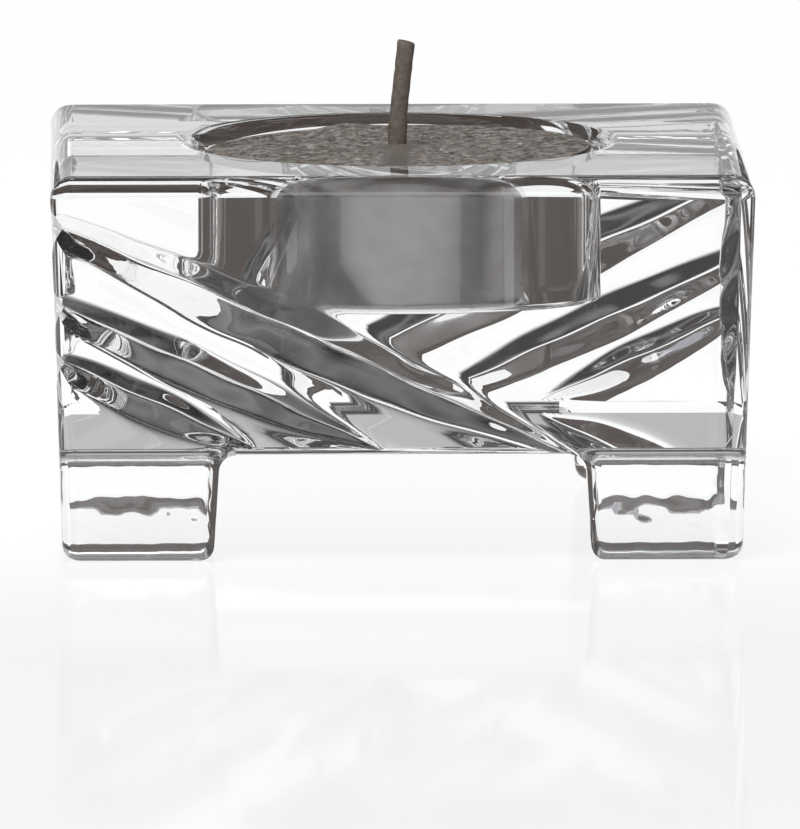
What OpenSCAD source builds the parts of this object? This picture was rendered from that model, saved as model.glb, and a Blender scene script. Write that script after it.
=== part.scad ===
// Cut-crystal tealight holder: a four-footed glass block with a tealight standing in its well.
// The front of the block faces -Y and the feet stand on Z = 0, centred on the origin.

/* [Glass block] */
// Width across the top of the block
block_w = 68; // [66:0.5:76]
// Depth across the top of the block
block_d = 61.6; // [60:0.2:72]
// Height from the soles of the feet to the top
block_h = 37.5; // [36:0.1:42]
// Lean of the outer walls, in degrees: the block narrows towards its feet
wall_lean = 1.8; // [1:0.1:2.5]
// Radius along the four top edges
top_edge_r = 2.2; // [1:0.1:2.6]
// Width of the flat that breaks each upright corner
corner_flat = 1.2; // [0.6:0.1:1.6]

/* [Feet] */
// Width of a foot where it leaves the block
foot_w = 15.5; // [13:0.1:17]
// Depth of a foot where it leaves the block
foot_d = 6.6; // [6:0.1:9]
// Height of the open space under the block
foot_h = 10.5; // [9:0.1:11]
// Lean of the inner walls of a foot, in degrees
foot_lean = 3.5; // [2:0.1:5]
// Radius along the lower edges of a foot
sole_edge_r = 1.6; // [0.8:0.1:1.8]
// Radius where a foot meets the underside of the block
root_r = 1.5; // [0.8:0.1:2]

/* [Well] */
// Diameter of the well's wall
well_d = 39.2; // [38.8:0.1:41]
// Depth of the well below the top of the block
well_depth = 14.1; // [13.9:0.1:15.5]
// Radius that rounds the well's mouth
well_lip_r = 2.2; // [1:0.1:2.6]
// Bevel round the foot of the well's wall
well_bevel = 0.6; // [0.2:0.1:0.8]

/* [Cuts] */
// Angle between the two faces of each V-shaped cut, in degrees
cut_angle = 104; // [90:2:112]
// Fall of the cuts along a wall, in degrees
cut_slope = 24.3; // [22:0.1:26]
// Upward lean of the cutting wheel, in degrees: it makes the lower face of a cut the wider one
cut_tilt = 2; // [0:1:12]
// Depth of the long upper cut
long_cut_depth = 2.15; // [1.8:0.05:2.3]
// Depth of the middle cut
middle_cut_depth = 1.65; // [1.4:0.05:1.9]
// Depth of the short lower cut
short_cut_depth = 1.5; // [1.2:0.05:1.7]

/* [Tealight] */
// Diameter of the aluminium cup over its rolled rim
cup_d = 38; // [37:0.1:38.4]
// Diameter of the cup at its floor
cup_floor_d = 36.1; // [35.5:0.1:36.6]
// Height of the cup
cup_h = 13.5; // [13:0.1:13.6]
// Thickness of the cup's wall
cup_wall = 0.3; // [0.25:0.05:0.4]
// Radius of the rolled rim's bead
rim_bead_r = 0.3; // [0.3:0.05:0.4]
// Depth of the wax below the cup's rim
wax_drop = 0.6; // [0.5:0.1:1.4]
// Height of the low mound of wax round the wick
wax_mound = 0.45; // [0.2:0.05:0.6]
// Diameter of the wick
wick_d = 1.9; // [1.6:0.1:2.2]
// Length of wick that stands clear of the wax
wick_free = 10.4; // [6:0.1:12]
// Lean of the wick above the wax, in degrees
wick_lean = 5; // [0.5:0.5:8]
// Diameter of the steel disc that holds the wick upright
sustainer_d = 12.5; // [10:0.5:14]
// Thickness of the steel disc and its neck
sustainer_t = 0.3; // [0.25:0.05:0.4]

/* [Hidden] */
$fn = 128;

// Clearance between pieces that stand in one another
slip = 0.05;
// Steps in each rounded corner of an outline
arc_steps = 5;
// How far the outer walls come in over the whole height, on each side
wall_inset = block_h * tan(wall_lean);
// How far a foot's inner wall comes in over its height
foot_inset = foot_h * tan(foot_lean);
well_floor_z = block_h - well_depth;
cup_z = well_floor_z + slip;
cup_inner_z = cup_z + cup_wall;
wax_z = cup_z + cup_h - wax_drop;
cup_mouth_d = cup_d - 2 * rim_bead_r;
wax_d = cup_mouth_d - 2 * cup_wall - 2 * slip;
wax_floor_d = cup_floor_d - 2 * cup_wall - 2 * slip;
neck_d = wick_d + 2 * sustainer_t + 4 * slip;
neck_h = 3;

// Each cut: where it is deepest along the wall from the corner, its height there, half its length, its depth
long_cut = [22, 23.2, 32.5, long_cut_depth];
middle_cut = [13, 19.6, 20.6, middle_cut_depth];
short_cut = [8.5, 16.2, 11.9, short_cut_depth];

// One corner of an outline, replaced by an arc of radius r that touches both of its sides
function rounded_corner(before, at, after, r) =
  let (
    to_before = (before - at) / norm(before - at),
    to_after = (after - at) / norm(after - at),
    half_angle = acos(to_before * to_after) / 2,
    middle = (to_before + to_after) / norm(to_before + to_after),
    centre = at + middle * r / sin(half_angle),
    start = at + to_before * r / tan(half_angle) - centre,
    end = at + to_after * r / tan(half_angle) - centre,
    first = atan2(start[1], start[0]),
    turn = atan2(end[1], end[0]) - first,
    sweep = turn > 180 ? turn - 360 : turn < -180 ? turn + 360 : turn
  )
  [for (i = [0:arc_steps])
    let (angle = first + sweep * i / arc_steps)
    centre + r * [cos(angle), sin(angle)]
  ];

// An outline whose every corner is rounded; each corner is [x, y, radius]
function rounded_outline(corners) =
  let (
    n = len(corners),
    flat = [for (c = corners) [c[0], c[1]]]
  )
  [for (i = [0:n - 1]) each rounded_corner(flat[(i + n - 1) % n], flat[i], flat[(i + 1) % n], corners[i][2])];

// The block seen square on: leaning walls, two feet and the gap between them
module wall_outline(top_width, foot_width) {
  half_top = top_width / 2;
  half_sole = half_top - wall_inset;
  // Half the gap at the underside of the block, measured in from the leaning wall
  half_gap = half_top - (block_h - foot_h) * tan(wall_lean) - foot_width;
  polygon(rounded_outline([
    [-half_top, block_h, top_edge_r],
    [-half_sole, 0, sole_edge_r],
    [-half_gap - foot_inset, 0, sole_edge_r],
    [-half_gap, foot_h, root_r],
    [half_gap, foot_h, root_r],
    [half_gap + foot_inset, 0, sole_edge_r],
    [half_sole, 0, sole_edge_r],
    [half_top, block_h, top_edge_r]
  ]));
}

// The uncut block: what its front outline and its side outline have in common
module footed_block() {
  intersection() {
    rotate([90, 0, 0])
      linear_extrude(height = block_d + 2, center = true)
        wall_outline(block_w, foot_w);
    rotate([90, 0, 90])
      linear_extrude(height = block_w + 2, center = true)
        wall_outline(block_d, foot_d);
  }
}

// Breaks one leaning upright corner; side_x and side_y say which corner
module corner_break(side_x, side_y) {
  depth = corner_flat / 2;
  translate([side_x * (block_w / 2 - wall_inset), side_y * (block_d / 2 - wall_inset), 0])
    rotate([0, 0, atan2(side_y, side_x)])
      rotate([0, atan(wall_inset * sqrt(2) / block_h), 0])
        translate([-depth, -5, -2])
          cube([10, 10, block_h + 4]);
}

// The well, with a rounded mouth and a small bevel at its foot
module well_space() {
  translate([0, 0, well_floor_z])
    rotate_extrude()
      union() {
        polygon([
          [0, 0],
          [well_d / 2 - well_bevel, 0],
          [well_d / 2, well_bevel],
          [well_d / 2, well_depth + 1],
          [0, well_depth + 1]
        ]);
        difference() {
          translate([well_d / 2 - 0.5, well_depth - well_lip_r])
            square([well_lip_r + 0.5, well_lip_r + 1]);
          translate([well_d / 2 + well_lip_r, well_depth - well_lip_r])
            circle(r = well_lip_r);
        }
      }
}

// The rim of a grinding wheel with a V-shaped edge, lying in the XY plane
module wheel_rim(wheel_r) {
  rim = 5;
  half_width = rim * tan(cut_angle / 2);
  rotate_extrude()
    polygon([[wheel_r, 0], [wheel_r - rim, half_width], [wheel_r - rim, -half_width]]);
}

// One cut in the front wall, measured from the left corner; its wheel dips deepest at "along" and "height"
module front_cut(cut) {
  along = cut[0];
  height = cut[1];
  half_length = cut[2];
  depth = cut[3];
  wheel_r = (half_length * half_length + depth * depth) / (2 * depth);
  wall_y = -(block_d / 2 - (block_h - height) * tan(wall_lean));
  translate([along - block_w / 2, wall_y, height])
    rotate([wall_lean, 0, 0])
      rotate([0, cut_slope, 0])
        rotate([cut_tilt, 0, 0])
          translate([0, depth - wheel_r, 0])
            wheel_rim(wheel_r);
}

// The three cuts of the front wall
module front_cuts() {
  front_cut(long_cut);
  front_cut(middle_cut);
  front_cut(short_cut);
}

// The front cuts and the same three folded round the left corner onto the side wall
module corner_cuts() {
  front_cuts();
  translate([-block_w / 2, -block_d / 2, 0])
    mirror([1, -1, 0])
      translate([block_w / 2, block_d / 2, 0])
        front_cuts();
}

// One piece of pressed and cut crystal, with four feet that are part of it
module glass_block() {
  color("lightblue", 0.6)
    difference() {
      footed_block();
      for (side_x = [-1, 1])
        for (side_y = [-1, 1])
          corner_break(side_x, side_y);
      well_space();
      for (turn = [0, 180])
        rotate([0, 0, turn])
          corner_cuts();
    }
}

// Thin aluminium cup of the tealight: a little narrower at its floor, with a rolled rim
module candle_cup() {
  wall_h = cup_h - rim_bead_r;
  color("silver")
    translate([0, 0, cup_z]) {
      difference() {
        cylinder(h = wall_h, d1 = cup_floor_d, d2 = cup_mouth_d);
        translate([0, 0, cup_wall])
          cylinder(h = wall_h, d1 = cup_floor_d - 2 * cup_wall, d2 = cup_mouth_d - 2 * cup_wall);
      }
      rotate_extrude()
        translate([cup_mouth_d / 2, wall_h])
          circle(r = rim_bead_r);
    }
}

// Wax fill: it stands on the cup's floor round the sustainer, and rises a little at the wick
module wax() {
  color("rosybrown")
    difference() {
      union() {
        translate([0, 0, cup_inner_z + slip])
          cylinder(h = wax_z - cup_inner_z - slip, d1 = wax_floor_d, d2 = wax_d - 0.1);
        translate([0, 0, wax_z - 0.01])
          cylinder(h = wax_mound + 0.01, d1 = 14, d2 = 5);
      }
      translate([0, 0, cup_inner_z])
        cylinder(h = sustainer_t + 2 * slip, d = sustainer_d + 2 * slip);
      translate([0, 0, cup_inner_z])
        cylinder(h = neck_h + 2 * slip, d = neck_d + 2 * slip);
      translate([0, 0, cup_inner_z])
        cylinder(h = cup_h + 2, d = wick_d + 2 * slip);
    }
}

// Braided wick: upright in the wax, a touch thinner and leaning above it
module wick() {
  foot_z = cup_inner_z + sustainer_t + 2 * slip;
  knee_z = wax_z + wax_mound + 0.6;
  tip_z = wax_z + wax_mound + wick_free;
  color("saddlebrown") {
    translate([0, 0, foot_z])
      cylinder(h = knee_z - foot_z, d = wick_d);
    translate([-0.04, 0, knee_z - 0.5])
      rotate([0, wick_lean, 0])
        cylinder(h = (tip_z - knee_z + 0.5) / cos(wick_lean), d = wick_d * 0.92);
  }
}

// Steel wick sustainer: a thin disc on the cup's floor with a crimped neck round the wick
module wick_sustainer() {
  color("silver")
    difference() {
      union() {
        translate([0, 0, cup_inner_z + slip])
          cylinder(h = sustainer_t, d = sustainer_d);
        translate([0, 0, cup_inner_z + slip])
          cylinder(h = neck_h, d = neck_d);
      }
      translate([0, 0, cup_inner_z + slip + sustainer_t])
        cylinder(h = neck_h, d = neck_d - 2 * sustainer_t);
    }
}

glass_block();
candle_cup();
wax();
wick();
wick_sustainer();
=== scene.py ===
import math

import bmesh
import bpy
from mathutils import Matrix, Vector, noise


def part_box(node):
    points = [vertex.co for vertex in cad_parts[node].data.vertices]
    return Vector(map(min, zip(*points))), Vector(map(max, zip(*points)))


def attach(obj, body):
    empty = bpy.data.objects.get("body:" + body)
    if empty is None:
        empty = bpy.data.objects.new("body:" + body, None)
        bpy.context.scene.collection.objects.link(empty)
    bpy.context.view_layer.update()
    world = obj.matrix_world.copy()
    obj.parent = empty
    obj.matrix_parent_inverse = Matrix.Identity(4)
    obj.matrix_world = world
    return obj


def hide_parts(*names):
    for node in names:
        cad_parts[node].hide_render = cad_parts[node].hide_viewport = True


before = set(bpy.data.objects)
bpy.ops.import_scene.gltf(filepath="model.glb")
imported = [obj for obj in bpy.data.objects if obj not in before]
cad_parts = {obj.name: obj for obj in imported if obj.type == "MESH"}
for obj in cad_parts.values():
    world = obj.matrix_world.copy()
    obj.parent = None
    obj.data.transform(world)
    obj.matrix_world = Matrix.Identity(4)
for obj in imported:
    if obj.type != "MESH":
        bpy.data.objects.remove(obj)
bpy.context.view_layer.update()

MM = 0.001

# ---------------------------------------------------------------- dimensions
# Millimetres and radians, unless a comment says otherwise. The outer sizes come from the CAD model's boxes.
block_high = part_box("glass_block")[1] / MM
cup_low, cup_high = (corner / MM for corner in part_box("candle_cup"))
wax_low, wax_high = (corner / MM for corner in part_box("wax"))
wick_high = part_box("wick")[1] / MM

# The block
WALL_LEAN = math.radians(1.8)
TOP_EDGE_R = 2.2
CORNER_R = 1.5
SOLE_EDGE_R = 1.6
# Rounding of the underside's outer edge
UNDER_EDGE_R = 0.8
ROOT_R = 1.5
FOOT_W = 15.5
FOOT_D = 6.6
FOOT_H = 10.5
FOOT_LEAN = math.radians(3.5)
FOOT_CORNER_R = 1.4
# The feet's inner faces are waviest at this height, and plain this far above and below it
WAVY_Z = 3.0
WAVY_REACH = 3.5
WELL_R = 19.6
WELL_DEPTH = 14.1
WELL_LIP_R = 2.2
WELL_BEVEL = 0.6
BLOCK_H = block_high.z
# Half sizes of the block's top as if its edges were sharp
HALF_W = block_high.x + TOP_EDGE_R * math.tan(WALL_LEAN)
HALF_D = block_high.y + TOP_EDGE_R * math.tan(WALL_LEAN)

# The cuts: angles of a cut's two faces, from square to the wall
UPPER_FACE = math.radians(50)
LOWER_FACE = math.radians(54)
VALLEY_SOFTNESS = 0.1
ARRIS_SOFTNESS = 0.2
# How far a cut wanders from side to side, and the share by which its depth varies
CUT_SWAY = 0.35
CUT_RIPPLE = 0.1
# Clear of the grooves, a cutter's surface stands this far outside the wall
ABOVE_WALL = 0.012
CUT_SLOPE = math.radians(24.3)
# Each V-cut: deepest point along the wall from the corner, its height, half its length, its depth
CUTS = {
    "long": (22, 23.2, 32.5, 2.15),
    "middle": (13, 19.6, 20.6, 1.65),
    "short": (8.5, 16.2, 11.9, 1.5),
}

# The cup
CUP_WALL = 0.3
# How much narrower the cup is at its floor, in radius, and the rounding there
CUP_TAPER = 0.7
CUP_EDGE_R = 0.9
# The dished floor: how far in from the cup's foot, and how far up
DISH_INSET = 2.4
DISH_RISE = 0.3
BEAD_R = 0.3
# How far the cup's rim dips, and how much it and the wax lean up to the right
RIM_DIP = 0.42
RIM_TILT = 0.02

# The wax: the mound at the wick, and half the width of the smooth strip in front of it
MOUND_H = 0.6
MOUND_R = 2.1
STRIP_HALF_W = 1.5
# The drag mark: its middle, half its length, its depth, and how its line slopes across the wax
DRAG_MIDDLE = (-7, 1.06)
DRAG_HALF_L = 4.4
DRAG_DEPTH = 0.16
DRAG_SLOPE = -0.16
# Each soft swelling or hollow of the top: its middle, its reach, its height
SWELLINGS = (
    ((-4.6, 16), (2.4, 4), 0.55),
    ((-12, 12), (7, 6), -0.3),
)
# Each layer of the crust: its height, its fineness along X and Y, its slice of the noise
CRUST = (
    (0.1, (0.9, 1.3), 0),
    (0.14, (2.2, 2.6), 3),
)

# The wick, from how deep it starts in the wax; above its knee it leans to the right
WICK_R = 0.86
WICK_FLATNESS = 0.92
WICK_SUNK = 1.6
KNEE_H = 2.2
KNEE_SOFTNESS = 1.2
WICK_LEAN = 0.11
# The share of its length that wax clings to, how soon that ends, and how thick it is
WAXED_SHARE = 0.34
WAXED_FADE = 0.012
WAXED_GROWTH = 0.07

# The floor and, between it and the soles, the grey cards under the feet: painted contact shadow under the
# soles
FLOOR_Z = -0.05
CONTACT_SHADOW_CARD_Z = -0.02
# A painted shadow: the floor's glow is dimmer in front of the block. Middle of that spot and where it fades,
# in metres
PAINTED_SHADE_SPOT = (0, -0.13, 0)
PAINTED_SHADE_FADE = (0.05, 0.16)
# Glow of the floor within the painted shadow and beyond it
FLOOR_GLOW = (1.0, 1.18)
# Share of the floor's look that is glow rather than lit, and share that is shine
GLOW_SHARE = 0.88
SHINE_SHARE = 0.13
# The standing dark cards: distance from the middle of the block and height, in metres, and reach in degrees
CARD_DISTANCE = 0.2
CARD_HEIGHT = 0.06
CARD_REACH = (17, 125)
# Nearest and farthest reach of the cards lying round the block, from its walls
LYING_CARD = (5, 43)
# The same for the card behind it, a painted shadow of the tealight on the floor there, which slopes away as
# the view does, and its height at the back wall
SHADOW_CARD_BEHIND = (4, 58)
SHADOW_CARD_BEHIND_Z = 10.9
SHADOW_CARD_BEHIND_SLOPE = math.radians(5.9)
# The pale panel in front: distance in metres, reach round Z and up, in degrees
PANEL_DISTANCE = 2.5
PANEL_REACH = (155, 205)
PANEL_RISE = (20, 34)
# The lamp: power in watts, width and place in metres
LAMP_WATTS = 3.4
LAMP_SIZE = 0.35
LAMP_PLACE = (-0.12, -0.3, 0.5)

# The camera: its lens, its place from the front wall's middle and the top, and its aim in degrees
LENS = 790
CAMERA_LEFT = 32.6
CAMERA_BACK = 1674
CAMERA_UP = 210
CAMERA_DOWN, CAMERA_RIGHT = 7.92, 1.105


# ---------------------------------------------------------------- mesh helpers
def make_object(name, bm, smooth_angle=30.0):
    """A bmesh in millimetres becomes an object in metres, smooth except where its faces meet more sharply."""
    bmesh.ops.recalc_face_normals(bm, faces=bm.faces)
    bmesh.ops.scale(bm, vec=(MM, MM, MM), verts=bm.verts)
    mesh = bpy.data.meshes.new(name)
    bm.to_mesh(mesh)
    bm.free()
    mesh.shade_smooth()
    mesh.set_sharp_from_angle(angle=math.radians(smooth_angle))
    obj = bpy.data.objects.new(name, mesh)
    bpy.context.scene.collection.objects.link(obj)
    return obj


def loft(rings):
    """Quads between successive rings of points, with a face over each end."""
    bm = bmesh.new()
    rows = [[bm.verts.new(point) for point in ring] for ring in rings]
    count = len(rows[0])
    for lower, upper in zip(rows, rows[1:]):
        for i in range(count):
            j = (i + 1) % count
            bm.faces.new((lower[i], lower[j], upper[j], upper[i]))
    bm.faces.new(reversed(rows[0]))
    bm.faces.new(rows[-1])
    return bm


def lathe(profile, segments=192):
    """Turns (radius, height) points round Z; a radius of 0 closes the shape at that end."""
    bm = bmesh.new()
    rows = []
    for radius, height in profile:
        if radius == 0:
            rows.append([bm.verts.new((0, 0, height))])
        else:
            turn = [2 * math.pi * i / segments for i in range(segments)]
            rows.append([bm.verts.new((radius * math.cos(a), radius * math.sin(a), height)) for a in turn])
    for lower, upper in zip(rows, rows[1:]):
        for i in range(segments):
            j = (i + 1) % segments
            corners = [row[k % len(row)] for row, k in ((lower, i), (lower, j), (upper, j), (upper, i))]
            bm.faces.new(list(dict.fromkeys(corners)))
    return bm


def rounded_ring(centre, half_x, half_y, radius, z, arc_steps=8, side_steps=(1, 1)):
    """A rounded rectangle of points at height z, with side_steps points along its X and Y sides."""
    signs = ((1, 1), (-1, 1), (-1, -1), (1, -1))

    def on_arc(quarter, angle):
        sign_x, sign_y = signs[quarter % 4]
        x = centre[0] + sign_x * (half_x - radius) + radius * math.cos(angle)
        y = centre[1] + sign_y * (half_y - radius) + radius * math.sin(angle)
        return Vector((x, y, z))

    points = []
    for quarter in range(4):
        start = math.pi / 2 * quarter
        points += [on_arc(quarter, start + math.pi / 2 * i / arc_steps) for i in range(arc_steps + 1)]
        steps = side_steps[quarter % 2]
        following = on_arc(quarter + 1, start + math.pi / 2)
        last = points[-1]
        points += [last.lerp(following, i / steps) for i in range(1, steps)]
    return points


def cut_away(target, cutters):
    """Takes each cutter's volume out of the target's mesh, then removes the cutter."""
    for cutter in cutters:
        step = target.modifiers.new("cut", "BOOLEAN")
        step.operation = "DIFFERENCE"
        step.solver = "MANIFOLD"
        step.object = cutter
    bpy.context.view_layer.update()
    evaluated = target.evaluated_get(bpy.context.evaluated_depsgraph_get())
    result = bpy.data.meshes.new_from_object(evaluated)
    target.modifiers.clear()
    target.data = result
    for cutter in cutters:
        bpy.data.objects.remove(cutter)


# ---------------------------------------------------------------- the crystal block
def soft_max(a, b, softness):
    """The larger of a and b, rounded over where they meet."""
    return (a + b + math.sqrt((a - b) ** 2 + softness ** 2)) / 2


def uncut_block():
    """The leaning, rounded block without its feet, well or cuts."""
    rings = []

    def add(z, inset):
        lean = (BLOCK_H - z) * math.tan(WALL_LEAN)
        radius = max(CORNER_R - inset * 0.6, 0.5)
        half_x, half_y = HALF_W - lean - inset, HALF_D - lean - inset
        rings.append(rounded_ring((0, 0), half_x, half_y, radius, z, 16))

    for i in range(9):
        angle = math.pi / 2 * i / 8
        add(SOLE_EDGE_R * (1 - math.cos(angle)), SOLE_EDGE_R * (1 - math.sin(angle)))
    for i in range(11):
        angle = math.pi / 2 * i / 10
        add(BLOCK_H - TOP_EDGE_R + TOP_EDGE_R * math.sin(angle), TOP_EDGE_R * (1 - math.cos(angle)))
    return make_object("block_body", loft(rings))


def cut_depth(cut, s, t):
    """Depth of a V-cut at s along it and t across it, with its valley and arrises softened by polishing."""
    _, height, half_length, deepest = CUTS[cut]
    sway = noise.noise(Vector((s * 0.17, t * 0.3, height)))
    across = t + CUT_SWAY * sway
    face = UPPER_FACE if across > 0 else LOWER_FACE
    rise = (math.hypot(across, VALLEY_SOFTNESS) - VALLEY_SOFTNESS) / math.tan(face)
    valley = deepest * (1 - (s / half_length) ** 2)
    softness = ARRIS_SOFTNESS * min(1.0, max(0.0, (1.12 - abs(s) / half_length) / 0.12))
    depth = soft_max(valley - rise, 0.0, softness)
    ripple = noise.noise(Vector((s * 0.28, t * 0.5, height + 9)))
    return depth * (1 + CUT_RIPPLE * ripple) - ABOVE_WALL


def wheel_dip(cut, placing):
    """What one V-cut removes, as strips that follow the cut; placing carries it to its wall and corner."""
    along, height, half_length, deepest = CUTS[cut]
    wall_y = -(HALF_D - (BLOCK_H - height) * math.tan(WALL_LEAN))
    to_wall = (
        Matrix.Translation((along - HALF_W, wall_y, height))
        @ Matrix.Rotation(WALL_LEAN, 4, "X")
        @ Matrix.Rotation(CUT_SLOPE, 4, "Y")
    )
    outside = -4.0
    shares = (0.0, 0.04, 0.09, 0.16, 0.28, 0.42, 0.56, 0.7, 0.82, 0.92)
    beyond = (-0.12, 0.0, 0.12, 0.26, 0.45, 0.7, 1.0, 1.4, 2.0)
    rings = []
    steps = int(half_length * 4)
    for i in range(steps + 1):
        s = half_length * 1.15 * (2 * i / steps - 1)
        valley = deepest * (1 - (s / half_length) ** 2)
        across = []
        for sign, face in ((-1, LOWER_FACE), (1, UPPER_FACE)):
            width = max(valley * math.tan(face), 0.5)
            side = [sign * width * share for share in shares] + [sign * (width + extra) for extra in beyond]
            across.append(side)
        section = list(reversed(across[0])) + across[1][1:]
        ring = [Vector((s, outside, section[0]))]
        ring += [Vector((s, cut_depth(cut, s, t), t)) for t in section]
        ring += [Vector((s, outside, section[-1]))]
        rings.append([placing @ (to_wall @ p) for p in ring])
    return make_object("wheel_" + cut, loft(rings))


def wheel_dips():
    """All four walls' cuts: the front's, the same folded round the left corner, and both half a turn on."""
    corner = Matrix.Translation((-HALF_W, -HALF_D, 0))
    swap = Matrix(((0, 1, 0, 0), (1, 0, 0, 0), (0, 0, 1, 0), (0, 0, 0, 1)))
    fold = corner @ swap @ corner.inverted()
    half_turn = Matrix.Rotation(math.pi, 4, "Z")
    placings = [Matrix.Identity(4), fold, half_turn, half_turn @ fold]
    return [wheel_dip(cut, placing) for placing in placings for cut in CUTS]


def foot_post(sign_x, sign_y):
    """What stays of the block in the open space under it: one foot, drawn well past the outer walls."""
    lean_at_root = (BLOCK_H - FOOT_H) * math.tan(WALL_LEAN)
    root_x = HALF_W - lean_at_root - FOOT_W
    root_y = HALF_D - lean_at_root - FOOT_D
    outer = 45
    rings = []

    def add(z, growth):
        inner_lean = max(FOOT_H - z, 0) * math.tan(FOOT_LEAN)
        inner_x = root_x + inner_lean - growth
        inner_y = root_y + inner_lean - growth
        centre = (sign_x * (inner_x + outer) / 2, sign_y * (inner_y + outer) / 2)
        radius = FOOT_CORNER_R + max(growth, 0)
        half_x, half_y = (outer - inner_x) / 2, (outer - inner_y) / 2
        ring = rounded_ring(centre, half_x, half_y, radius, z, 8, (60, 60))
        rings.append([uneven(p, z) for p in ring])

    def uneven(point, z):
        """The pressed inner face of a foot is a little wavy near its sole."""
        fade = max(0.0, 1 - abs(z - WAVY_Z) / WAVY_REACH) if z > 0.3 else 0.0
        swell = noise.noise(Vector((point.x, point.y, z)) * 0.6 + Vector((7, 3, 1)))
        ripple = noise.noise(Vector((point.x, point.y, z)) * 1.3)
        push = fade * (0.09 * swell + 0.03 * ripple)
        return point + Vector((sign_x, sign_y, 0)) * push

    add(-6, -SOLE_EDGE_R)
    for i in range(9):
        angle = math.pi / 2 * i / 8
        add(SOLE_EDGE_R * (1 - math.cos(angle)), -SOLE_EDGE_R * (1 - math.sin(angle)))
    for i in range(1, 14):
        add(SOLE_EDGE_R + (FOOT_H - ROOT_R - SOLE_EDGE_R) * i / 14, 0)
    for i in range(9):
        angle = math.pi / 2 * i / 8
        add(FOOT_H - ROOT_R + ROOT_R * math.sin(angle), ROOT_R * (1 - math.cos(angle)))
    add(FOOT_H + 2, ROOT_R)
    return make_object("foot_post", loft(rings))


def open_space_below():
    """The slab of air under the block, with the four feet left out of it."""
    lean = (BLOCK_H - FOOT_H) * math.tan(WALL_LEAN)
    wall_x, wall_y = HALF_W - lean, HALF_D - lean
    outer = 50
    just_outside = 0.02
    rings = [rounded_ring((0, 0), outer, outer, 1, z) for z in (-5, FOOT_H + UNDER_EDGE_R)]
    for i in range(9):
        angle = math.pi / 2 * i / 8
        inset = UNDER_EDGE_R * (1 - math.cos(angle)) - just_outside
        z = FOOT_H + UNDER_EDGE_R * (1 - math.sin(angle))
        rings.append(rounded_ring((0, 0), wall_x - inset, wall_y - inset, CORNER_R, z))
    slab = make_object("space_below", loft(rings))
    cut_away(slab, [foot_post(x, y) for x in (-1, 1) for y in (-1, 1)])
    return slab


def well_space():
    """The well, with its rounded mouth and the small bevel at its foot."""
    floor_z = BLOCK_H - WELL_DEPTH
    profile = [(0, floor_z), (WELL_R - WELL_BEVEL, floor_z)]
    for i in range(1, 7):
        angle = math.pi / 2 * i / 6
        profile.append((
            WELL_R - WELL_BEVEL * (1 - math.sin(angle)),
            floor_z + WELL_BEVEL * (1 - math.cos(angle)),
        ))
    for i in range(13):
        angle = math.pi / 2 * i / 12
        profile.append((
            WELL_R + WELL_LIP_R * (1 - math.cos(angle)),
            BLOCK_H - WELL_LIP_R + WELL_LIP_R * math.sin(angle),
        ))
    profile += [(WELL_R + WELL_LIP_R, BLOCK_H + 2), (0, BLOCK_H + 2)]
    return make_object("well_space", lathe(profile))


def glass_block():
    block = uncut_block()
    cut_away(block, [open_space_below(), well_space()] + wheel_dips())
    block.name = "crystal_block"
    block.data.shade_smooth()
    block.data.set_sharp_from_angle(angle=math.radians(40))
    weighted = block.modifiers.new("even shading", "WEIGHTED_NORMAL")
    weighted.keep_sharp = True
    weighted.weight = 80
    return block


# ---------------------------------------------------------------- the tealight
def aluminium_cup():
    """Thin pressed aluminium cup: a dished floor, a soft lower edge and a rolled rim."""
    low, high = cup_low.z, cup_high.z
    floor_r, mouth_r = cup_high.x - CUP_TAPER, cup_high.x - BEAD_R
    dish_r = floor_r - DISH_INSET
    profile = [(0, low + DISH_RISE), (dish_r - 1, low + DISH_RISE)]
    profile += [(dish_r - 0.5, low + 0.22), (dish_r, low + 0.03)]
    for i in range(9):
        angle = math.pi / 2 * i / 8
        profile.append((
            floor_r - CUP_EDGE_R * (1 - math.sin(angle)),
            low + CUP_EDGE_R * (1 - math.cos(angle)),
        ))
    for i in range(17):
        angle = math.radians(-80 + 330 * i / 16)
        profile.append((mouth_r + BEAD_R * math.cos(angle), high - BEAD_R + BEAD_R * math.sin(angle)))
    profile += [(mouth_r - CUP_WALL, high - 2.2 * BEAD_R), (floor_r - CUP_WALL, low + 1.3)]
    for i in range(1, 7):
        angle = math.pi / 2 * i / 6
        profile.append((floor_r - CUP_WALL - 0.7 * (1 - math.cos(angle)), low + 1.3 - 0.6 * math.sin(angle)))
    profile.append((0, low + (DISH_RISE + CUP_WALL)))
    bm = lathe(profile)
    for vert in bm.verts:
        share = (vert.co.z - low) / (high - low)
        vert.co.z += share ** 3 * (RIM_TILT * vert.co.x - RIM_DIP)
    return make_object("aluminium_cup", bm)


def wax_height(x, y, radius):
    """Height of the wax above its level: a mound at the wick, a drag mark, swellings and a grainy crust."""
    r = math.hypot(x, y)
    height = MOUND_H * math.exp(-(r / MOUND_R) ** 1.6)
    for middle, reach, rise in SWELLINGS:
        height += rise * math.exp(-((x - middle[0]) / reach[0]) ** 2 - ((y - middle[1]) / reach[1]) ** 2)
    along = x - DRAG_MIDDLE[0]
    across = y - DRAG_MIDDLE[1] - DRAG_SLOPE * along
    in_drag = math.exp(-across ** 4) * math.exp(-(along / DRAG_HALF_L) ** 4)
    in_strip = math.exp(-(x / STRIP_HALF_W) ** 4) if y < 0 else 0.0
    rough = (1 - math.exp(-(r / 2.8) ** 2)) * (1 - in_drag) * (1 - 0.8 * in_strip)
    rough *= min(1.0, (radius - r) / 0.6)
    crust = sum(h * noise.noise(Vector((x * fine[0], y * fine[1], z))) for h, fine, z in CRUST)
    return height - DRAG_DEPTH * in_drag + RIM_TILT * x + rough * crust


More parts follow.
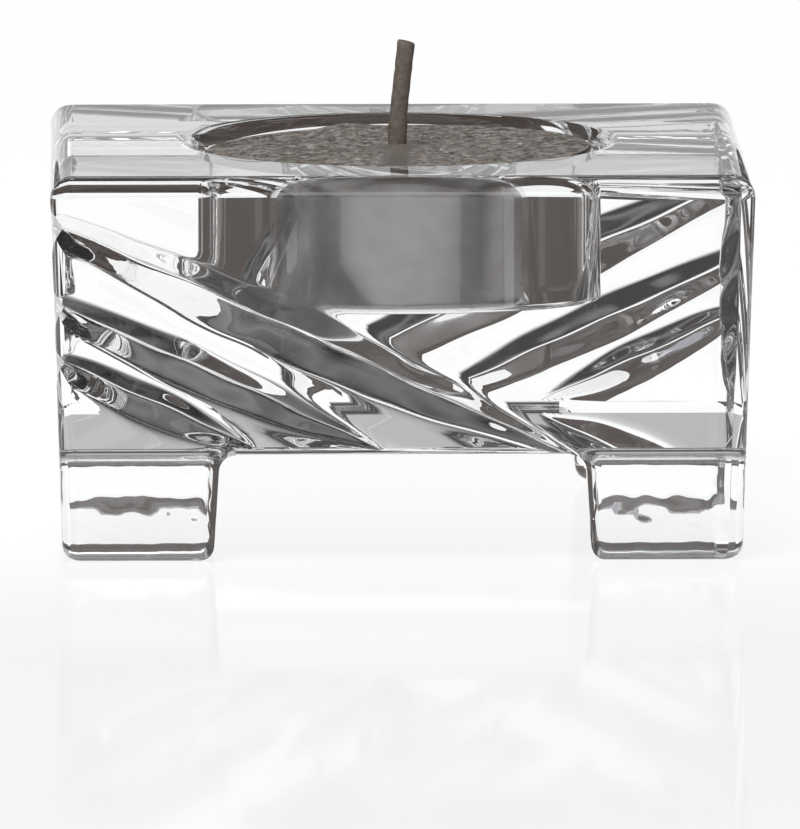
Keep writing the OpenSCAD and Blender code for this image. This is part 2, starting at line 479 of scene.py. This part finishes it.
def wax_fill():
    """The wax fill: its top is a fine polar grid that just laps over the cup's rim."""
    radius = cup_high.x - 0.2
    foot_r = cup_high.x - CUP_TAPER - CUP_WALL - 0.35
    level = cup_high.z - RIM_DIP + 0.06
    segments = 360
    turn = [2 * math.pi * i / segments for i in range(segments)]
    bm = bmesh.new()

    def row(r, z=None):
        verts = []
        for a in turn:
            x, y = r * math.cos(a), r * math.sin(a)
            verts.append(bm.verts.new((x, y, level + wax_height(x, y, radius) if z is None else z)))
        return verts

    def lap(inset, drop):
        r = radius - inset
        points = [(r * math.cos(a), r * math.sin(a)) for a in turn]
        return [bm.verts.new((x, y, level + RIM_TILT * x - drop)) for x, y in points]

    rows = [row(foot_r - 1.2, wax_low.z), row(foot_r - 0.4, wax_low.z + 0.25), row(foot_r, wax_low.z + 0.9)]
    rows += [lap(0.75, 0.9), lap(0.7, 0.05), lap(0.03, 0.045), lap(0, 0.02)]
    rows += [row(radius - 0.04 - (radius - 0.04) * i / 120) for i in range(120)]
    for lower, upper in zip(rows, rows[1:]):
        for i in range(segments):
            j = (i + 1) % segments
            bm.faces.new((lower[i], lower[j], upper[j], upper[i]))
    bm.faces.new(reversed(rows[0]))
    tip = bm.verts.new((0, 0, level + wax_height(0, 0, radius)))
    for i in range(segments):
        bm.faces.new((rows[-1][i], rows[-1][(i + 1) % segments], tip))
    return make_object("wax_fill", bm, 60)


def wick_path(t):
    """Middle of the wick, from inside the wax (t = 0) to its tip (t = 1): upright, then leaning right."""
    base_z = wax_high.z - WICK_SUNK
    z = base_z + (wick_high.z - 0.15 - base_z) * t
    above_knee = z - wax_high.z - KNEE_H
    x = WICK_LEAN * (above_knee + math.hypot(above_knee, KNEE_SOFTNESS)) / 2
    return Vector((x, 0.1 * math.sin(3 * t), z))


def braided_wick():
    """A waxed braid of crossing strands, thicker where wax clings to it, its tip cut at a slant."""
    sides, steps = 36, 160
    strands, turns = 3, 6.5
    rings = []
    for i in range(steps + 1):
        t = i / steps
        centre = wick_path(t)
        waxed = 1 / (1 + math.exp((t - WAXED_SHARE) / WAXED_FADE))
        slant = -0.24 * max(0.0, (t - 0.9) / 0.1)
        ring = []
        for k in range(sides):
            angle = 2 * math.pi * k / sides
            one_way = math.cos(strands * angle + 2 * math.pi * turns * t)
            other_way = math.cos(strands * angle - 2 * math.pi * turns * t)
            fuzz = noise.noise(Vector((math.cos(angle) * 2, math.sin(angle) * 2, t * 20)))
            radius = WICK_R + 0.014 * max(one_way, other_way)
            radius = radius + (0.015 + 0.03 * waxed) * fuzz + WAXED_GROWTH * waxed
            radius *= 1 - 0.1 * max(0.0, (t - 0.985) / 0.015)
            x, y = math.cos(angle) * radius, math.sin(angle) * radius * WICK_FLATNESS
            ring.append(centre + Vector((x, y, slant * x)))
        rings.append(ring)
    centre = wick_path(1)
    for share, rise in ((0.75, 0.03), (0.45, -0.02), (0.2, 0.02)):
        rings.append([centre + (p - centre) * share + Vector((0, 0, rise)) for p in rings[steps]])
    return make_object("braided_wick", loft(rings), 50)


# ---------------------------------------------------------------- materials
def new_material(name):
    material = bpy.data.materials.new(name)
    material.use_nodes = True
    tree = material.node_tree
    return material, tree.nodes, tree.links, tree.nodes["Principled BSDF"]


def object_noise(nodes, links, scale, detail=3.0, roughness=0.5):
    where = nodes.new("ShaderNodeTexCoord")
    texture = nodes.new("ShaderNodeTexNoise")
    texture.inputs["Scale"].default_value = scale
    texture.inputs["Detail"].default_value = detail
    texture.inputs["Roughness"].default_value = roughness
    links.new(where.outputs["Object"], texture.inputs["Vector"])
    return texture


def add_bump(nodes, links, shader, texture, strength, distance):
    bump = nodes.new("ShaderNodeBump")
    bump.inputs["Strength"].default_value = strength
    bump.inputs["Distance"].default_value = distance
    links.new(texture.outputs["Fac"], bump.inputs["Height"])
    links.new(bump.outputs["Normal"], shader.inputs["Normal"])
    return bump


def colours_by_noise(nodes, links, texture, stops):
    ramp = nodes.new("ShaderNodeValToRGB")
    while len(ramp.color_ramp.elements) < len(stops):
        ramp.color_ramp.elements.new(0.5)
    for element, (position, colour) in zip(ramp.color_ramp.elements, stops):
        element.position = position
        element.color = (*colour, 1)
    links.new(texture.outputs["Fac"], ramp.inputs["Fac"])
    return ramp


def crystal_material():
    material, nodes, links, shader = new_material("crystal")
    shader.inputs["Base Color"].default_value = (0.985, 0.99, 0.995, 1)
    shader.inputs["Roughness"].default_value = 0.0
    shader.inputs["IOR"].default_value = 1.54
    shader.inputs["Transmission Weight"].default_value = 1.0
    ripple = object_noise(nodes, links, 160, 2.0)
    add_bump(nodes, links, shader, ripple, 0.03, 0.00005)
    return material


def cup_material():
    material, nodes, links, shader = new_material("satin_aluminium")
    drawn = object_noise(nodes, links, 500, 4.0)
    ramp = colours_by_noise(nodes, links, drawn, [(0.3, (0.35, 0.335, 0.32)), (0.7, (0.41, 0.395, 0.38))])
    links.new(ramp.outputs["Color"], shader.inputs["Base Color"])
    shader.inputs["Metallic"].default_value = 1.0
    shader.inputs["Roughness"].default_value = 0.4
    add_bump(nodes, links, shader, drawn, 0.08, 0.00003)
    return material


def outside_patch(nodes, links, centre, half_sizes, turn=0.0):
    """0 within an ellipse in the object's XY plane, given in millimetres, rising to 1 just outside it."""
    where = nodes.new("ShaderNodeTexCoord")
    mapping = nodes.new("ShaderNodeMapping")
    mapping.vector_type = "TEXTURE"
    mapping.inputs["Location"].default_value = (centre[0] * MM, centre[1] * MM, 0)
    mapping.inputs["Rotation"].default_value = (0, 0, turn)
    mapping.inputs["Scale"].default_value = (half_sizes[0] * MM, half_sizes[1] * MM, 10)
    distance = nodes.new("ShaderNodeVectorMath")
    distance.operation = "LENGTH"
    edge = nodes.new("ShaderNodeMapRange")
    edge.inputs["From Min"].default_value = 0.5
    edge.inputs["From Max"].default_value = 1.35
    links.new(where.outputs["Object"], mapping.inputs["Vector"])
    links.new(mapping.outputs["Vector"], distance.inputs[0])
    links.new(distance.outputs["Value"], edge.inputs["Value"])
    return edge.outputs["Result"]


def wax_material():
    material, nodes, links, shader = new_material("wax")
    grain = object_noise(nodes, links, 900, 5.0, 0.75)
    ramp = colours_by_noise(nodes, links, grain, [
        (0.36, (0.080, 0.068, 0.058)),
        (0.50, (0.205, 0.185, 0.168)),
        (0.62, (0.420, 0.395, 0.370)),
    ])
    grainy = outside_patch(nodes, links, (0, 0), (3.2, 3.2))
    for patch in ((DRAG_MIDDLE, (4.6, 1.1), DRAG_SLOPE), ((0, -10), (STRIP_HALF_W, 10))):
        both = nodes.new("ShaderNodeMath")
        both.operation = "MULTIPLY"
        links.new(grainy, both.inputs[0])
        links.new(outside_patch(nodes, links, *patch), both.inputs[1])
        grainy = both.outputs["Value"]
    colour = nodes.new("ShaderNodeMix")
    colour.data_type = "RGBA"
    colour.inputs["A"].default_value = (0.155, 0.138, 0.124, 1)
    links.new(grainy, colour.inputs["Factor"])
    links.new(ramp.outputs["Color"], colour.inputs["B"])
    links.new(colour.outputs["Result"], shader.inputs["Base Color"])
    shader.inputs["Roughness"].default_value = 0.35
    shader.inputs["Subsurface Weight"].default_value = 0.05
    shader.inputs["Subsurface Scale"].default_value = 0.0006
    bump = add_bump(nodes, links, shader, grain, 0.5, 0.0003)
    half = nodes.new("ShaderNodeMath")
    half.operation = "MULTIPLY"
    half.inputs[1].default_value = 0.5
    links.new(grainy, half.inputs[0])
    links.new(half.outputs["Value"], bump.inputs["Strength"])
    return material


def wick_material():
    material, nodes, links, shader = new_material("wick")
    fibre = object_noise(nodes, links, 1500, 4.0, 0.7)
    ramp = colours_by_noise(nodes, links, fibre, [
        (0.3, (0.095, 0.072, 0.056)),
        (0.7, (0.190, 0.162, 0.138)),
    ])
    links.new(ramp.outputs["Color"], shader.inputs["Base Color"])
    shader.inputs["Roughness"].default_value = 0.7
    add_bump(nodes, links, shader, fibre, 0.35, 0.0001)
    return material


def steel_material():
    material, nodes, links, shader = new_material("sustainer_steel")
    brushed = object_noise(nodes, links, 700, 3.0)
    ramp = colours_by_noise(nodes, links, brushed, [(0.3, (0.5, 0.5, 0.51)), (0.7, (0.66, 0.66, 0.67))])
    links.new(ramp.outputs["Color"], shader.inputs["Base Color"])
    shader.inputs["Metallic"].default_value = 1.0
    shader.inputs["Roughness"].default_value = 0.3
    return material


# ---------------------------------------------------------------- build the object
def dress(obj, material, slot, body, *nodes):
    obj.data.materials.clear()
    obj.data.materials.append(material)
    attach(obj, body)
    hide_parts(*nodes)


dress(glass_block(), crystal_material(), "crystal", "holder", "glass_block")
dress(aluminium_cup(), cup_material(), "cup_aluminium", "tealight", "candle_cup")
dress(wax_fill(), wax_material(), "wax", "tealight", "wax")
dress(braided_wick(), wick_material(), "wick", "tealight", "wick")
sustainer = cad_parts["wick_sustainer"]
sustainer.data.materials.clear()
sustainer.data.materials.append(steel_material())


# ---------------------------------------------------------------- stage
def studio_floor():
    """A plain pale floor with a faint shine, its glow a little dimmer in front of the block as a painted
    shadow.
    """
    bm = bmesh.new()
    bmesh.ops.create_grid(bm, x_segments=2, y_segments=2, size=30)
    mesh = bpy.data.meshes.new("floor")
    bm.to_mesh(mesh)
    bm.free()
    floor = bpy.data.objects.new("floor", mesh)
    bpy.context.scene.collection.objects.link(floor)
    floor.location.z = FLOOR_Z * MM
    material = bpy.data.materials.new("pale_floor")
    material.use_nodes = True
    nodes, links = material.node_tree.nodes, material.node_tree.links
    nodes.clear()
    output = nodes.new("ShaderNodeOutputMaterial")
    matt = nodes.new("ShaderNodeBsdfDiffuse")
    matt.inputs["Color"].default_value = (0.93, 0.93, 0.925, 1)
    glow = nodes.new("ShaderNodeEmission")
    glow.inputs["Color"].default_value = (1, 1, 1, 1)
    # Painted shadow: the glow is dimmer round a spot in front of the block
    where = nodes.new("ShaderNodeTexCoord")
    distance = nodes.new("ShaderNodeVectorMath")
    distance.operation = "DISTANCE"
    distance.inputs[1].default_value = PAINTED_SHADE_SPOT
    shaded_glow = nodes.new("ShaderNodeMapRange")
    shaded_glow.interpolation_type = "SMOOTHSTEP"
    shaded_glow.inputs["From Min"].default_value, shaded_glow.inputs["From Max"].default_value = PAINTED_SHADE_FADE
    shaded_glow.inputs["To Min"].default_value, shaded_glow.inputs["To Max"].default_value = FLOOR_GLOW
    links.new(where.outputs["Object"], distance.inputs[0])
    links.new(distance.outputs["Value"], shaded_glow.inputs["Value"])
    links.new(shaded_glow.outputs["Result"], glow.inputs["Strength"])
    sheen = nodes.new("ShaderNodeBsdfGlossy")
    sheen.inputs["Roughness"].default_value = 0.06
    lit = nodes.new("ShaderNodeMixShader")
    lit.inputs["Fac"].default_value = GLOW_SHARE
    links.new(matt.outputs[0], lit.inputs[1])
    links.new(glow.outputs[0], lit.inputs[2])
    coated = nodes.new("ShaderNodeMixShader")
    coated.inputs["Fac"].default_value = SHINE_SHARE
    links.new(lit.outputs[0], coated.inputs[1])
    links.new(sheen.outputs[0], coated.inputs[2])
    links.new(coated.outputs[0], output.inputs["Surface"])
    mesh.materials.append(material)


def studio_world():
    """Light by height: white at the horizon, darkening above it, with one thin grey band and a grey top."""
    world = bpy.data.worlds.new("studio")
    bpy.context.scene.world = world
    world.use_nodes = True
    nodes, links = world.node_tree.nodes, world.node_tree.links
    nodes.clear()
    output = nodes.new("ShaderNodeOutputWorld")
    background = nodes.new("ShaderNodeBackground")
    where = nodes.new("ShaderNodeTexCoord")
    split = nodes.new("ShaderNodeSeparateXYZ")
    spread = nodes.new("ShaderNodeMapRange")
    spread.inputs["From Min"].default_value = -1
    spread.inputs["From Max"].default_value = 1
    ramp = nodes.new("ShaderNodeValToRGB")
    stops = [
        (0.52, 0.97), (0.545, 0.62), (0.575, 0.46), (0.60, 0.16), (0.635, 0.02),
        (0.69, 0.02), (0.722, 0.18), (0.757, 0.02), (0.95, 0.03), (0.98, 0.4),
    ]
    while len(ramp.color_ramp.elements) < len(stops):
        ramp.color_ramp.elements.new(0.5)
    for element, (position, level) in zip(ramp.color_ramp.elements, stops):
        element.position = position
        element.color = (level, level, level, 1)
    seen = nodes.new("ShaderNodeLightPath")
    white = nodes.new("ShaderNodeMix")
    white.data_type = "RGBA"
    white.inputs["B"].default_value = (1, 1, 1, 1)
    links.new(where.outputs["Generated"], split.inputs["Vector"])
    links.new(split.outputs["Z"], spread.inputs["Value"])
    links.new(spread.outputs["Result"], ramp.inputs["Fac"])
    links.new(seen.outputs["Is Camera Ray"], white.inputs["Factor"])
    links.new(ramp.outputs["Color"], white.inputs["A"])
    links.new(white.outputs["Result"], background.inputs["Color"])
    links.new(background.outputs[0], output.inputs["Surface"])


def hidden_card(name, rows, material, mirrored):
    """A glowing card for the glass to refract, and to mirror if asked; the camera never sees it."""
    bm = bmesh.new()
    rows = [[bm.verts.new(point) for point in row] for row in rows]
    for (a, b), (c, d) in zip(rows, rows[1:]):
        bm.faces.new((a, c, d, b))
    mesh = bpy.data.meshes.new(name)
    bm.to_mesh(mesh)
    bm.free()
    mesh.materials.append(material)
    card = bpy.data.objects.new(name, mesh)
    bpy.context.scene.collection.objects.link(card)
    card.visible_camera = False
    card.visible_diffuse = False
    card.visible_shadow = False
    card.visible_glossy = mirrored


def spread_angles(reach, steps):
    """Angles in radians, evenly spread over a reach in degrees."""
    start, end = map(math.radians, reach)
    return [start + (end - start) * i / steps for i in range(steps + 1)]


def card_material(name, colour, strength=1.0):
    material = bpy.data.materials.new(name)
    material.use_nodes = True
    nodes, links = material.node_tree.nodes, material.node_tree.links
    nodes.clear()
    glow = nodes.new("ShaderNodeEmission")
    glow.inputs["Color"].default_value = (*colour, 1)
    glow.inputs["Strength"].default_value = strength
    output = nodes.new("ShaderNodeOutputMaterial")
    links.new(glow.outputs[0], output.inputs["Surface"])
    return material


def studio_cards():
    """Cards that shape the glass: dark at the sides and round the block, the one behind it a painted shadow
    of the tealight on the floor, grey ones under the feet as painted contact shadow, pale in front.
    """
    brown = card_material("brown_card", (0.068, 0.055, 0.048))
    grey = card_material("contact_shadow_grey_card", (0.37, 0.37, 0.40))
    pale = card_material("pale_card", (1, 1, 1), 2.0)
    for side in (-1, 1):
        turn = spread_angles(CARD_REACH, 36)
        foot = [Vector((side * CARD_DISTANCE * math.sin(a), CARD_DISTANCE * math.cos(a), 0)) for a in turn]
        hidden_card("side_card", [(p, p + Vector((0, 0, CARD_HEIGHT))) for p in foot], brown, True)

    near, far = LYING_CARD
    for side in (-1, 1):
        xs = [side * (HALF_W + gap) for gap in LYING_CARD]
        ends = (-HALF_D - far, HALF_D + far)
        hidden_card("lying_card", [[Vector((x, y, 0.1)) * MM for y in ends] for x in xs], brown, False)
    ys, ends = [-HALF_D - gap for gap in LYING_CARD], (-HALF_W - near, HALF_W + near)
    hidden_card("lying_card", [[Vector((x, y, 0.1)) * MM for x in ends] for y in ys], brown, False)

    # A dark card behind the block: the tealight's painted shadow on the floor there, as the glass sees it
    rows = []
    for gap in SHADOW_CARD_BEHIND:
        z = SHADOW_CARD_BEHIND_Z - gap * math.tan(SHADOW_CARD_BEHIND_SLOPE)
        rows.append([Vector((x * (HALF_W + far), HALF_D + gap, z)) * MM for x in (-1, 1)])
    hidden_card("shadow_card_behind", rows, brown, False)

    # Grey cards under the feet, seen through the glass: painted contact shadow under the soles
    lean = BLOCK_H * math.tan(WALL_LEAN)
    for x in (-1, 1):
        for y in (-1, 1):
            xs = [x * (HALF_W - lean - inset) for inset in (1, FOOT_W - 1)]
            ys = [y * (HALF_D - lean - inset) for inset in (1, FOOT_D - 1)]
            rows = [[Vector((end_x, end_y, CONTACT_SHADOW_CARD_Z)) * MM for end_y in ys] for end_x in xs]
            hidden_card("contact_shadow_card", rows, grey, False)

    rises = [math.tan(math.radians(rise)) for rise in PANEL_RISE]
    turn = spread_angles(PANEL_REACH, 12)
    panel = [[Vector((math.sin(a), math.cos(a), rise)) * PANEL_DISTANCE for rise in rises] for a in turn]
    hidden_card("pale_panel", panel, pale, True)


def overhead_lamp():
    """A soft lamp over the front that lights the wax and the floor, and isn't mirrored by the glass."""
    data = bpy.data.lights.new("overhead_lamp", "AREA")
    data.shape = "DISK"
    data.size = LAMP_SIZE
    data.energy = LAMP_WATTS
    lamp = bpy.data.objects.new("overhead_lamp", data)
    bpy.context.scene.collection.objects.link(lamp)
    lamp.location = LAMP_PLACE
    lamp.rotation_euler = (-lamp.location).to_track_quat("-Z", "Y").to_euler()
    lamp.visible_camera = False
    lamp.visible_glossy = False
    lamp.visible_transmission = False


def studio_camera():
    """A long lens a little above and to the left of the object."""
    data = bpy.data.cameras.new("camera")
    data.lens = LENS
    data.sensor_width = 36
    data.sensor_fit = "HORIZONTAL"
    data.clip_start = 0.1
    camera = bpy.data.objects.new("camera", data)
    bpy.context.scene.collection.objects.link(camera)
    camera.location = Vector((-CAMERA_LEFT, -HALF_D - CAMERA_BACK, BLOCK_H + CAMERA_UP)) * MM
    down, right = math.radians(CAMERA_DOWN), math.radians(CAMERA_RIGHT)
    look = Vector((math.sin(right) * math.cos(down), math.cos(right) * math.cos(down), -math.sin(down)))
    camera.rotation_euler = look.to_track_quat("-Z", "Y").to_euler()
    bpy.context.scene.camera = camera


studio_floor()
studio_world()
studio_cards()
overhead_lamp()
studio_camera()
scene = bpy.context.scene
scene.view_settings.view_transform = "Standard"
scene.cycles.max_bounces = 32
scene.cycles.transmission_bounces = 32
scene.cycles.glossy_bounces = 32
